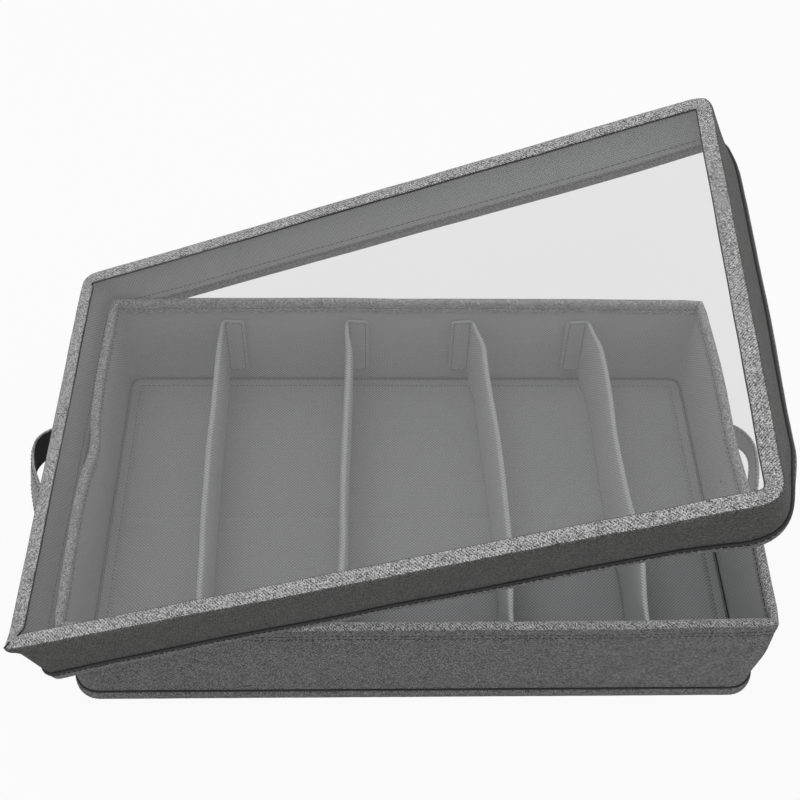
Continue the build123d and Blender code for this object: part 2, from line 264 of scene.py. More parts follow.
def strip_round(line, profile, move):
    """A closed strip of cloth round a wall; move(point, outward, out, up) gives each place."""
    return strip_along(line + line[:1], profile, move)


def strip_along(line, profile, move):
    """The same along an open line, with its two ends filled."""
    profile = profile + profile[:1]
    bm = bent_grid(line, profile, lengths([at[0] for at in line]), lengths(profile),
                   lambda at, cut: move(*at, *cut))
    return welded(bm)


def piece(name, bm, body, material, stands_for=(), ride=True):
    """Makes a finished bmesh an object with its material, on its body, in place of CAD nodes."""
    mesh = bpy.data.meshes.new(name)
    bm.to_mesh(mesh)
    bm.free()
    mesh.shade_smooth()
    for one in material if isinstance(material, (list, tuple)) else [material]:
        mesh.materials.append(one)
    made = bpy.data.objects.new(name, mesh)
    bpy.context.scene.collection.objects.link(made)
    if ride:
        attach(made, body)
    if stands_for:
        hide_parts(*stands_for)
    print(f"{name}: {len(mesh.polygons)} faces")
    return made


# %% [markdown]
# ## Shader arithmetic
# Cloth finishes are mostly arithmetic on the cloth map: which yarn is this, is it on top here,
# how light is this stretch of it. `Wire` lets that be written as Python, and every operator on a
# wire adds one Math node. `Finish.node` makes every other node, for materials and for the world.

# %% Shader helpers
def maths_method(operation, reflected=False):
    """A method of a wire that adds one Math node, with the wire itself last if it is reflected."""
    def method(wire, *others):
        return wire.maths(operation, *((*others, wire) if reflected else (wire, *others)))
    return method


class Wire:
    """A socket of a material that can be used in arithmetic."""

    def __init__(self, finish, socket):
        self.finish, self.socket = finish, socket

    def maths(self, operation, *values):
        """A Math node with these values or wires."""
        return self.finish.node("ShaderNodeMath", dict(enumerate(values)), operation=operation)

    __add__, __radd__ = maths_method("ADD"), maths_method("ADD", reflected=True)
    __sub__, __rsub__ = maths_method("SUBTRACT"), maths_method("SUBTRACT", reflected=True)
    __mul__, __truediv__ = maths_method("MULTIPLY"), maths_method("DIVIDE")
    __mod__, __abs__ = maths_method("FLOORED_MODULO"), maths_method("ABSOLUTE")
    floor, sine, above = maths_method("FLOOR"), maths_method("SINE"), maths_method("GREATER_THAN")


class Finish:
    """A material, or a world, under construction."""

    def __init__(self, name, kind="materials", shader="Principled BSDF"):
        self.result = getattr(bpy.data, kind).new(name)
        self.result.use_nodes = True
        self.tree = self.result.node_tree
        self.shader = self.tree.nodes[shader]

    def node(self, kind, inputs=None, output=0, stops=None, **settings):
        """Makes a node: its settings, a ramp's stops, then the values or wires of its sockets."""
        made = self.tree.nodes.new(kind)
        for key, value in settings.items():
            setattr(made, key, value)
        if stops:
            ramp = made.color_ramp
            while len(ramp.elements) < len(stops):
                ramp.elements.new(0.5)
            for element, (position, grey) in zip(ramp.elements, stops):
                element.position = position
                element.color = (grey, grey, grey, 1)
        for key, value in (inputs or {}).items():
            if isinstance(value, Wire):
                self.tree.links.new(value.socket, made.inputs[key])
            else:
                made.inputs[key].default_value = value
        return Wire(self, made.outputs[output])

    def set(self, **values):
        """Values or wires for the main shader's own sockets, with _ for a space."""
        for key, value in values.items():
            socket = self.shader.inputs[key.replace("_", " ")]
            if isinstance(value, Wire):
                self.tree.links.new(value.socket, socket)
            else:
                socket.default_value = value

    def cloth_place(self, flat=False):
        """The two directions of the cloth map in millimetres, or of a flat piece seen from above."""
        place = self.object_place() if flat else self.node("ShaderNodeUVMap", uv_map="cloth")
        parts = self.node("ShaderNodeSeparateXYZ", {0: place})
        return parts * 1000, Wire(self, parts.socket.node.outputs[1]) * 1000

    def object_place(self):
        """Object coordinates, in metres."""
        return self.node("ShaderNodeTexCoord", output="Object")

    def object_noise(self, scale, detail=2.0):
        """Soft noise over the piece itself, with so many noise widths to a metre."""
        inputs = {"Vector": self.object_place(), "Scale": scale, "Detail": detail}
        return self.node("ShaderNodeTexNoise", inputs)

    def noise(self, x, y, z=0.0, detail=2.0):
        """Soft noise at a place given in noise widths."""
        place = self.node("ShaderNodeCombineXYZ", {0: x, 1: y, 2: z})
        return self.node("ShaderNodeTexNoise", {"Vector": place, "Scale": 1.0, "Detail": detail})

    def ramp(self, value, *stops):
        """A value looked up on a ramp of (position, grey) stops."""
        return self.node("ShaderNodeValToRGB", {0: value}, stops=stops)

    def blend(self, share, dark, light):
        """One of two colours, or wires of them, by a share."""
        return self.node("ShaderNodeMix", {0: share, 6: dark, 7: light}, output=2, data_type="RGBA")

    def bump(self, height, distance, strength=1.0):
        """A relief of so many metres."""
        inputs = {"Height": height, "Distance": distance, "Strength": strength}
        return self.node("ShaderNodeBump", inputs, output="Normal")


def grey(value, warmth=0.0):
    """A near-neutral colour, a touch warm or cool."""
    return (value * (1 + warmth), value, value * (1 - warmth), 1)


# %% [markdown]
# ## The outside cloth
# The outside is a melange canvas: a twill of yarns that are light in some stretches and dark in
# others. A picture of cloth would repeat and blur close up, so the weave is worked out instead.
# Each yarn is found by rounding the cloth map down to whole yarn widths, and gets its own noise
# along its length, so flecks lie along the yarns as they do in real cloth. Faces that stand up
# use darker copies of the same weave, and that is painted shade: they get less light than the
# rolled tops. The lid's skirt gets the darkest copy, a touch warm, which is painted shade too.

# %% Heather canvas
yarn = 0.6                                   # millimetres from one yarn to the next


def heather_canvas(name, dark, light, fleck=1.1, warmth=0.0, flat=False):
    """Twilled melange canvas, from the tone of its dark yarns to that of its light ones."""
    cloth_finish = Finish(name)
    u, v = cloth_finish.cloth_place(flat)
    drift = cloth_finish.noise(u / 40, v / 40) - 0.5
    across, down = u / yarn + drift * 1.5, v / yarn - drift * 1.5
    column, row = across.floor(), down.floor()
    weft_on_top = ((column + row) % 3).above(1.5)
    warp_tone = cloth_finish.noise(column * 7.31, v / fleck, 3.0, 3.0)
    weft_tone = cloth_finish.noise(u / fleck, row * 5.17, 9.0, 3.0)
    tone = weft_on_top * (weft_tone + 0.07) + (1 - weft_on_top) * (warp_tone - 0.03)
    patch = cloth_finish.noise(u / 9, v / 9, 5.0) - 0.5
    tone = cloth_finish.ramp(tone + patch * 0.08, (0.39, 0.0), (0.50, 0.38), (0.62, 1.0))
    relief_warp, relief_weft = abs((across * pi).sine()), abs((down * pi).sine())
    relief = weft_on_top * relief_weft + (1 - weft_on_top) * relief_warp
    shade = 0.72 + relief * 0.28
    colour = cloth_finish.blend(tone * shade, grey(dark, warmth), grey(light, warmth))
    cloth_finish.set(Base_Color=colour, Roughness=0.92, Sheen_Weight=0.12, Sheen_Roughness=0.5,
                     Normal=cloth_finish.bump(relief + tone * 0.3, 0.00022))
    return cloth_finish.result


canvas = heather_canvas("heather_canvas", 0.045, 0.68)
# The two darker copies below are painted shade, for the walls and for the lid's skirt.
canvas_side_painted_shade = heather_canvas("heather_side_painted_shade", 0.025, 0.38)
canvas_skirt_painted_shade = heather_canvas("heather_skirt_painted_shade", 0.014, 0.155, warmth=0.03)
canvas_tape = heather_canvas("heather_tape", 0.035, 0.40)

# %% [markdown]
# ## The lining
# The lining is a smooth non-woven with a fine diamond pressed into it. Two crossed waves make the
# diamond, once as a low relief and once as a tone that is darker in the dips. That dark is partly
# the pressed cloth's own and partly painted shade. The mat's darker copy is painted shade too.

# %% Embossed lining
diamond = 2.2                                # millimetres between embossed rows


def embossed_lining(name, tone, flat=False):
    """Smooth non-woven with a fine diamond pressed into it."""
    cloth_finish = Finish(name)
    u, v = cloth_finish.cloth_place(flat)
    rising, falling = (u + v) * (pi / diamond), (u - v) * (pi / diamond)
    relief = abs(rising.sine()) * abs(falling.sine())
    felt = cloth_finish.noise(u * 1.6, v * 1.6, 1.0, 4.0)
    patch = cloth_finish.noise(u / 25, v / 25, 2.0)
    # Low in the dips: the darker tone there is partly the pressed cloth's own and partly painted shade.
    share = relief * 0.75 + felt * 0.15 + patch * 0.10
    colour = cloth_finish.blend(share, grey(tone * 0.55, -0.012), grey(tone * 1.6, -0.015))
    cloth_finish.set(Base_Color=colour, Roughness=0.85, Sheen_Weight=0.1, Sheen_Roughness=0.5,
                     Normal=cloth_finish.bump(relief + felt * 0.3, 0.00022))
    return cloth_finish.result


soft_lining = embossed_lining("embossed_lining", 0.39)
# The mat's darker copy of the lining is painted shade: the floor gets more light than the walls.
mat_lining_painted_shade = embossed_lining("mat_lining_painted_shade", 0.25)

# %% [markdown]
# ## Film, thread, card and hook tape
# The window is a clear flexible sheet. A glass shader would bend what lies behind it, which thin
# film doesn't do. So a small part of its surface counts as pale and glossy and the rest lets light
# straight through: dark cloth behind it looks a little paler, and a white table a little greyer.

# %% Film, thread, card, hook tape
def window_film():
    """Clear flexible sheet, faintly hazy, with the low ripples of a soft plastic."""
    film = Finish("clear_film")
    ripple, haze = film.object_noise(14.0, 1.0), film.object_noise(6.0, 3.0)
    film.set(Base_Color=grey(0.30), Roughness=0.12, IOR=1.45, Alpha=haze * 0.02 + 0.165,
             Normal=film.bump(ripple, 0.0008))
    return film.result


def sewing_thread(name, tone):
    """Twisted thread: fine ribs along each stitch."""
    thread = Finish(name)
    place = thread.object_place()
    twist = thread.node("ShaderNodeTexWave", {"Vector": place, "Scale": 900.0, "Distortion": 0.5})
    colour = thread.blend(twist, grey(tone * 0.7), grey(tone * 1.3))
    thread.set(Base_Color=colour, Roughness=0.6, Normal=thread.bump(twist, 0.0001))
    return thread.result


def grey_card():
    """Uncoated chipboard with its pressed fibres."""
    card = Finish("grey_card")
    fibre, cloudy = card.object_noise(700.0, 5.0), card.object_noise(40.0)
    colour = card.blend(fibre * 0.6 + cloudy * 0.4, (0.20, 0.17, 0.13, 1), (0.42, 0.37, 0.30, 1))
    card.set(Base_Color=colour, Roughness=0.95, Normal=card.bump(fibre, 0.0001))
    return card.result


def hook_tape():
    """Black hook tape: rows of tiny stiff hooks."""
    tape = Finish("hook_tape")
    place = tape.object_place()
    hooks = tape.node("ShaderNodeTexVoronoi", {"Vector": place, "Scale": 1300.0})
    colour = tape.blend(hooks, grey(0.035), grey(0.008))
    tape.set(Base_Color=colour, Roughness=0.7 - hooks * 0.2, Normal=tape.bump(hooks, -0.0004))
    return tape.result


clear_film = window_film()
# This thread also makes the dark cords on seams, which are painted shade.
dark_thread_and_seam_shade = sewing_thread("dark_thread_and_seam_shade", 0.018)
grey_thread = sewing_thread("grey_thread", 0.11)
card = grey_card()
hooks = hook_tape()

# %% [markdown]
# ## Stitches
# A row of stitches is one thread that lies on the cloth for a few millimetres and then dives
# through it. So a row here is one thin tube along the seam, and its centre goes below the
# surface once for each stitch. It is a real shape, so it catches light from the side. A tube that
# doesn't dive is a cord. A dark cord laid on a seam is painted shade, for the shadow down in it.

# %% Stitch rows
stitch_pitch = 3.4 * MM
thread_width = 0.6 * MM
rings_per_stitch = 4
thread_turns = [2 * pi * side / 5 for side in range(6)]


def gathered(parts):
    """One bmesh that holds all the others."""
    whole = bmesh.new()
    for part in parts:
        mesh = bpy.data.meshes.new("part")
        part.to_mesh(mesh)
        part.free()
        whole.from_mesh(mesh)
        bpy.data.meshes.remove(mesh)
    return whole


def stitch_row(points, normals, width=thread_width, dive=1.0):
    """A thread sewn along a line of points on a surface; it lies flat as a cord if dive is 0."""
    marks = lengths(points)
    count = max(1, round(marks[-1] / stitch_pitch)) * rings_per_stitch
    rings, spot = [], 0
    for number in range(count + 1):
        mark = marks[-1] * number / count
        while spot < len(marks) - 2 and marks[spot + 1] < mark:
            spot += 1
        share = (mark - marks[spot]) / (marks[spot + 1] - marks[spot])
        along = (points[spot + 1] - points[spot]).normalized()
        normal = normals[spot].lerp(normals[spot + 1], share)
        normal = (normal - along * normal.dot(along)).normalized()
        height = width * (0.3 - dive * cos(pi * number / rings_per_stitch) ** 6)
        middle = points[spot].lerp(points[spot + 1], share) + normal * height
        rings.append((middle, normal * width / 2, normal.cross(along) * width / 2))
    return welded(bent_grid(rings, thread_turns, range(count + 1), thread_turns,
                            lambda ring, turn: ring[0] + ring[1] * cos(turn) + ring[2] * sin(turn)))


def sewn(line, surface, out, up, side=1, way=Vector, **thread):
    """A stitch row along (point, outward) pairs of a surface; side is -1 on its inner face."""
    places = [surface(point, outward, out, up) for point, outward in line]
    return stitch_row(places, [way(outward) * side for point, outward in line], **thread)


# %% [markdown]
# ## The tray's walls
# Card keeps the walls nearly flat, but a sewn tray is never quite straight. The long walls bow
# out a little, and each end wall has a soft fold in its middle, where its two cards part so that
# the tray can fold flat. The left fold has been used more. The stitched rim draws the corners to
# a crease. Sculpting each layer by hand would let them cross, so all layers of a wall follow the
# same `wall_shift` and stay together.

# %% How the tray's walls give
bow = 1.3 * MM                               # long walls, outwards in the middle
fold_in = {-1: 3.0 * MM, 1: 0.6 * MM}        # left and right end wall, inwards at the fold
end_bulge = 0.9 * MM                         # end walls, outwards each side of it
unevenness = 0.55 * MM
fold_reach = 13 * MM
corner_pinch = 4.2 * MM                      # the stitched rim pulls its corners sharp


def held(value):
    """A value held between 0 and 1."""
    return min(1.0, max(0.0, value))


def bell(distance, width):
    """From 1 at no distance smoothly down to nothing, within about two widths."""
    return exp(-((distance / width) ** 2))


def soft_step(value):
    """From 0 to 1 as a value goes from 0 to 1, level at both ends."""
    value = held(value)
    return value * value * (3 - 2 * value)


def soft_noise(place, size, seed):
    """Smooth noise between about -1 and 1 that changes over a given size."""
    return noise.noise(Vector(place) / size + Vector((seed, seed * 1.7, seed * 0.6)))


def point_of_corner(outward):
    """From 0 where a wall is straight to 1 at the very corner, rising to a sharp crease there."""
    return (1 / max(abs(outward.x), abs(outward.y)) - 1) / (sqrt(2) - 1)


def wall_shift(point, outward, up):
    """How far a place on the tray's wall lies from where a stiff wall would be."""
    rise = held((up - seam_z) / (rim_z - seam_z))
    swell = rise ** 0.7
    on_long = abs(outward.y) ** 4
    on_end = abs(outward.x) ** 4
    out = on_long * bow * swell * (1 - (point.x / tray_x) ** 2)
    reach = abs(point.y) / fold_reach
    fold = fold_in[-1 if point.x < 0 else 1]
    out -= on_end * fold * exp(-reach * reach / 2) * (0.4 + 0.6 * rise) * min(1, rise * 6)
    out += on_end * end_bulge * swell * sin(min(1, abs(point.y) / tray_y) * pi) ** 2
    out += unevenness * swell * soft_noise((point.x, point.y, up * 0.7), 52 * MM, 3.0)
    out += corner_pinch * soft_step(rise * 1.6) * point_of_corner(outward)
    lift = 0.6 * MM * rise ** 2 * soft_noise((point.x, point.y, 0), 45 * MM, 11.0)
    return outward * out + Vector((0, 0, lift))


def on_wall(point, outward, out, up):
    """A place on the tray's wall: so far out from its outer face, so far up."""
    return point + outward * out + Vector((0, 0, up)) + wall_shift(point, outward, up)


tray_line = wall_line(tray_x, tray_y, tray_corner, crease=1.4 * MM)
tray_loop = tray_line + tray_line[:1]
print("tray outline:", len(tray_line), "points")

# %% [markdown]
# ## The tray's cover
# One canvas goes up the outside, over the top of the cards and down inside as a band, so its
# section is a long hook. A solidified sheet couldn't turn that tightly, so the hook is drawn as a
# closed section and carried round the outline. The roll over the cards is fuller than the wall,
# and two rows of stitches hold it outside and one inside.

# %% Tray cover
def second_finish(cloth_piece, start, end=1.0):
    """Gives faces the second finish between two lengths, in metres, along the cloth's section."""
    cloth_map = cloth_piece.data.uv_layers["cloth"]
    for face in cloth_piece.data.polygons:
        v = sum(cloth_map.data[spot].uv.y for spot in face.loop_indices) / len(face.loop_indices)
        face.material_index = 1 if start < v < end else 0


band_bottom = rim_z - 10 * MM
roll_depth = 2.4 * MM
outer_rows = (8.2 * MM, 11.6 * MM)           # below the rim, outside
inner_row = 5.6 * MM                         # below the rim, inside
groove = 0.35 * MM
groove_width = 0.7 * MM


def seam_dip(distance):
    """How far a tight row of stitches pulls the cloth in, at a distance from the row."""
    return groove * bell(distance, groove_width)


def on_cover(point, outward, out, up):
    """The cover's surface: pulled in at its stitch rows, rumpled along the roll."""
    place = on_wall(point, outward, out, up)
    below = rim_z - up
    if out > -board_out / 2:
        place -= outward * sum(seam_dip(below - row) for row in outer_rows)
        rumple = bell(below - 5 * MM, 4 * MM)
        place += outward * rumple * (0.35 * MM + 0.3 * MM * soft_noise((point.x, point.y, up), 9 * MM, 21))
    elif out < -wall_depth - cloth / 2:
        place += outward * seam_dip(below - inner_row)
        rumple = bell(below - 6 * MM, 5 * MM)
        place -= outward * rumple * 0.35 * MM * (1 + soft_noise((point.x, point.y, up), 11 * MM, 31))
    return place


cover_section = section([
    (0, seam_z - 0.2 * MM, 0.7 * MM),
    (0, rim_z, 2.0 * MM),
    (-wall_depth - cloth, rim_z, 2.0 * MM),
    (-wall_depth - cloth, band_bottom, 0.3 * MM),
    (-wall_depth, band_bottom, 0),
    (-wall_depth, rim_z - roll_depth, 0),
    (-cloth, rim_z - roll_depth, 0),
    (-cloth, seam_z - 0.2 * MM, 0),
], step=1.1 * MM)
# The walls outside take the darker canvas, painted shade; from just below the rim on, the plain one.
tray_cover = piece("tray_cover", strip_round(tray_line, cover_section, on_cover), "tray",
                   [canvas_side_painted_shade, canvas], ["outer_cover"])
second_finish(tray_cover, rim_z - seam_z - 2.5 * MM)

# %% Stitches of the tray's rim
rows = [sewn(tray_loop, on_cover, 0, rim_z - row) for row in outer_rows]
rows.append(sewn(tray_loop, on_cover, -wall_depth - cloth, rim_z - inner_row, side=-1))
piece("rim_stitches", gathered(rows), "tray", dark_thread_and_seam_shade)

# %% [markdown]
# ## The lining and the cards of the walls
# The lining is a strip inside the cards. It shows a sharp line where an end wall folds, and it is
# slack low in the corners. The cards are never seen, but they bend with the wall, so they are cut
# from the same outline and moved in the same way, which keeps them inside the cloth.

# %% Wall lining
crease_width, crease_depth = 1.3 * MM, 0.7 * MM
lining_foot, lining_top = cloth, rim_z - roll_depth - 0.4 * MM


def on_lining(point, outward, out, up):
    """The lining's surface, with a sharp crease at the fold of each end wall."""
    place = on_wall(point, outward, out, up)
    if out < -wall_depth + lining / 2:
        place += outward * crease_depth * bell(point.y, crease_width) * abs(outward.x) ** 4
        place += outward * 0.12 * MM * soft_noise((point.x, point.y, up), 14 * MM, 41)
        low_down = 1 - soft_step(up / rim_z * 1.6)
        place += outward * 2.0 * MM * low_down * point_of_corner(outward)
    return place


lining_section = flat_section(-board_in, -wall_depth, lining_foot, lining_top, 3 * MM)
piece("wall_lining_cloth", strip_round(tray_line, lining_section, on_lining), "tray", soft_lining,
      ["wall_lining"])


# %% Wall cards
def card_piece(chosen, low, high):
    """A card that bends with the wall, along one stretch of the tray's outline."""
    inset = 0.15 * MM
    profile = flat_section(-board_out - inset, inset - board_in, low, high, 6 * MM)
    return strip_along(chosen, profile, on_wall)


def stretch(line, test):
    """The neighbouring points of a closed line that pass a test, in order."""
    marks = [test(point, outward) for point, outward in line]
    start = next(n for n in range(len(line)) if marks[n] and not marks[n - 1])
    run = []
    while marks[start % len(line)]:
        run.append(line[start % len(line)])
        start += 1
    return run


card_top = rim_z - roll_depth - 0.6 * MM
long_end, short_end, card_gap = tray_x - tray_corner, tray_y - tray_corner, 1.4 * MM
for name, side in (("front_wall_board", -1), ("back_wall_board", 1)):
    run = stretch(tray_line, lambda p, o: p.y * side > tray_y - MM and abs(p.x) < long_end)
    piece(name + "_card", card_piece(run, 1.2 * MM, card_top), "tray", card, [name])
for name, side in (("left_wall_boards", -1), ("right_wall_boards", 1)):
    halves = []
    for half in (-1, 1):
        run = stretch(tray_line, lambda p, o: p.x * side > tray_x - MM
                      and card_gap < p.y * half < short_end)
        halves.append(card_piece(run, 1.2 * MM, card_top))
    piece(name + "_card", gathered(halves), "tray", card, [name])


# %% [markdown]
# ## The base
# The base is a cloth panel, and a folded tape binds it to the walls. The tape stands a little
# proud all round, and a dark cord on the seam above it is painted shade, for the shadow in that
# groove. The tape stays on the table, so only its outer face is uneven.

# %% Bound edge of the base
binding_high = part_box("base_binding")[1]
binding_proud = binding_high.x - tray_x


def on_binding(point, outward, out, up):
    """The binding's surface: full in the middle of its height, a little lumpy."""
    round_off = 0.35 * MM * soft_noise((point.x, point.y, up), 8 * MM, 51)
    swell = (0.4 * MM + round_off) * sin(pi * min(1, up / binding_high.z)) if out > 0 else 0
    lift = 0.5 * MM * max(0, soft_noise((point.x, point.y, 0), 70 * MM, 57)) * (up > 2 * MM)
    return point + outward * (out + swell) + Vector((0, 0, up + lift))


binding_section = section([
    (binding_proud, 0, 0.8 * MM),
    (binding_proud, binding_high.z, 1.1 * MM),
    (-cloth, binding_high.z, 0),
    (-cloth, 0, 0),
], step=1.0 * MM)
piece("base_edge", strip_round(tray_line, binding_section, on_binding), "tray", canvas_tape,
      ["base_binding"])

# %% Seam above the bound edge
# A dark cord that lies on the seam: painted shade for the shadow down in it.
seam = sewn(tray_loop, on_wall, 0.1 * MM, binding_high.z + 0.4 * MM, width=1.3 * MM, dive=0)
piece("base_seam_shade_cord", seam, "tray", dark_thread_and_seam_shade)

# %% [markdown]
# ## The floor mat
# Two cards are sewn into one cloth, with a flat border round them and a soft fold between them.
# Its cloth is a flat grid that is lifted where the cards are and pushed down at each seam. A
# formula for the height is enough here, because nothing on the mat overhangs, and the stitches
# read the same formula, so they lie on it exactly.

# %% Floor mat
mat_low, mat_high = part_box("floor_mat_cover")
card_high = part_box("floor_mat_back_board")[1]
mat_cloth = 0.7 * MM
mat_corner = 9.7 * MM
border_top = mat_low.z + mat_cloth
shoulder = 2.2 * MM
fold_depth, fold_width = 1.1 * MM, 2.4 * MM


def edge_distance(x, y, half_x, half_y, radius):
    """How far a place lies inside a rounded rectangle."""
    over_x, over_y = abs(x) - (half_x - radius), abs(y) - (half_y - radius)
    return radius - hypot(max(over_x, 0), max(over_y, 0)) - min(max(over_x, over_y), 0)


def mat_top(x, y):
    """The height of the mat's cloth."""
    inside_card = min(card_high.x - abs(x), card_high.y - abs(y))
    height = border_top + (mat_high.z - border_top) * soft_step(1 + inside_card / shoulder)
    on_cards = soft_step(1 + (card_high.x - abs(x)) / shoulder)
    height -= (0.15 + 0.85 * on_cards) * fold_depth * bell(y, fold_width)
    seam = inside_card + shoulder + 1.0 * MM
    height -= 0.45 * MM * bell(seam, 0.8 * MM)
    rim = edge_distance(x, y, mat_high.x, mat_high.y, mat_corner)
    height -= 0.6 * MM * bell(rim, 0.7 * MM)
    height += 0.25 * MM * (1 + soft_noise((x, y, 0), 30 * MM, 61)) * soft_step(inside_card / (8 * MM))
    return height


def mat_place(x, y):
    """A grid crossing brought inside the mat's rounded outline and lifted to its height."""
    flat = Vector((x, y))
    centre = Vector((max(-mat_high.x + mat_corner, min(mat_high.x - mat_corner, x)),
                     max(-mat_high.y + mat_corner, min(mat_high.y - mat_corner, y))))
    over = flat - centre
    if over.length > mat_corner:
        flat = centre + over.normalized() * mat_corner
    return Vector((*flat, mat_top(*flat)))


def even(low, high, step):
    """Evenly spaced places from low to high."""
    count = round((high - low) / step)
    return [low + (high - low) * number / count for number in range(count + 1)]


mat_x, mat_y = even(-mat_high.x, mat_high.x, 1.6 * MM), even(-mat_high.y, mat_high.y, 1.1 * MM)
bm = bent_grid(mat_x, mat_y, mat_x, mat_y, mat_place)
bmesh.ops.recalc_face_normals(bm, faces=bm.faces)
bmesh.ops.solidify(bm, geom=bm.faces[:], thickness=mat_cloth)
piece("floor_mat_cloth", faced_out(bm), "tray", mat_lining_painted_shade, ["floor_mat_cover"])

# %% Stitches of the floor mat
rows = []
for inset, radius in ((-shoulder - 1.0 * MM, 2 * MM), (-shoulder - 6.5 * MM, 5 * MM)):
    half_x, half_y = card_high.x - inset, card_high.y - inset
    ring = rounded([(half_x, -half_y, radius), (half_x, half_y, radius),
                    (-half_x, half_y, radius), (-half_x, -half_y, radius)], 3 * MM)
    places = [Vector((point.x, point.y, mat_top(point.x, point.y))) for point in ring]
    rows.append(stitch_row(places + places[:1], [Vector((0, 0, 1))] * (len(places) + 1)))
piece("mat_stitches", gathered(rows), "tray", grey_thread)

# %% [markdown]
# ## Dividers
# A divider is one padded cloth with a card in it. It folds at each end into a thin flap that is
# pressed on to the wall with hook tape. None of the four stands quite straight, and their free
# tops sway more than their feet. So the strip follows a line from flap tip to flap tip, and one
# function moves it. The card inside follows the same sway.

# %% Shape of a divider
flap_reach = 15 * MM
flap_thin = 1.4 * MM
flap_fold = 3 * MM
panel_thick = 2.7 * MM
flap_lift = 7.2 * MM
padding = 1.5 * MM                           # how much fuller each side is than its board
held_back, held_front = 26 * MM, 70 * MM     # how far from each wall a flap still holds it straight
foot_lift = 0.6 * MM                         # the rounded foot runs just above the mat
sways = {1: (-1.5, 0.5), 2: (1.5, 0.5), 3: (5.5, -0.6), 4: (4.0, 1.4)}      # mm: bow and ripple


def divider_ends(number):
    """Where a divider's middle meets the back and the front flap line, and which way it turns."""
    board = [vert.co for vert in nodes[f"divider_{number}_board"].data.vertices]
    cover_low, cover_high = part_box(f"divider_{number}_cover")
    reach = max(place.y for place in board)
    flap_line = cover_high.y - flap_thin / 2
    ends = []
    for side in (1, -1):
        across = [place.x for place in board if place.y * side > 0]
        ends.append((min(across) + max(across)) / 2)
    middle, lean = sum(ends) / 2, (ends[0] - ends[1]) / 2 * flap_line / reach
    turn = 1 if cover_high.x - max(ends) > min(ends) - cover_low.x else -1
    return middle + lean, middle - lean, turn, flap_line


def divider_line(number, step=2.6 * MM):
    """A divider's plan line from flap tip to flap tip, as (point, outward, distance along) items."""
    back_x, front_x, turn, flap_line = divider_ends(number)
    corners = [(back_x + turn * flap_reach, flap_line, 0), (back_x, flap_line, flap_fold),
               (front_x, -flap_line, flap_fold), (front_x + turn * flap_reach, -flap_line, 0)]
    points = rounded(corners, step, closed=False)
    marks = lengths(points)
    line = []
    for number_here, point in enumerate(points):
        before, after = points[max(number_here - 1, 0)], points[min(number_here + 1, len(points) - 1)]
        along = (after - before).normalized()
        line.append((point, Vector((along.y, -along.x, 0)), marks[number_here] / marks[-1] * 2 - 1))
    return line


def divider_shape(number):
    """How a divider's cloth is placed: move(point, outward, along, out, up)."""
    low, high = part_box(f"divider_{number}_cover")
    flap_line = divider_ends(number)[3]
    bow_mm, ripple_mm = sways[number]
    total = lengths([at[0] for at in divider_line(number)])[-1]

    def move(point, outward, along, out, up):
        from_tip = (1 - abs(along)) * total / 2
        rise = (up - low.z) / (high.z - low.z)
        in_panel = soft_step((from_tip - flap_reach + 1 * MM) / (6 * MM))
        thick = flap_thin + (panel_thick - flap_thin) * in_panel
        pad = padding * soft_step((from_tip - flap_reach - 3 * MM) / (22 * MM))
        pad *= 1 - abs(2 * held(rise) - 1) ** 5
        past_fold = soft_step((from_tip - flap_reach + 2 * MM) / (9 * MM))
        bottom = low.z + foot_lift + flap_lift * (1 - past_fold)
        tip_round = 2.5 * MM * (1 - sqrt(max(0, 1 - (1 - min(1, from_tip / (2.5 * MM))) ** 2)))
        bottom, top = bottom + tip_round, high.z - tip_round
        height = bottom + (top - bottom) * rise
        share = point.y / flap_line * 0.5 + 0.5
        loose = soft_step((flap_line - abs(point.y)) / (held_back if point.y >= 0 else held_front))
        sway = MM * loose * (bow_mm + ripple_mm * sin(3 * pi * share))
        sway *= in_panel * (0.7 + 0.3 * rise)
        sway += 0.5 * MM * in_panel * rise * soft_noise((point.x, point.y, up), 26 * MM, 71 + number)
        height += 0.5 * MM * in_panel * rise * soft_noise((point.x, point.y, 0), 40 * MM, 81 + number)
        height += 0.9 * MM * rise * bell(from_tip - flap_reach, 5 * MM)
        puff = out / (panel_thick / 2)
        away = puff * (thick / 2 + pad)
        wall = wall_shift(Vector((point.x, point.y, 0)), Vector((0, 1 if point.y > 0 else -1, 0)), up)
        return point + outward * away + Vector((sway, 0, height)) + wall * (1 - in_panel)

    return move


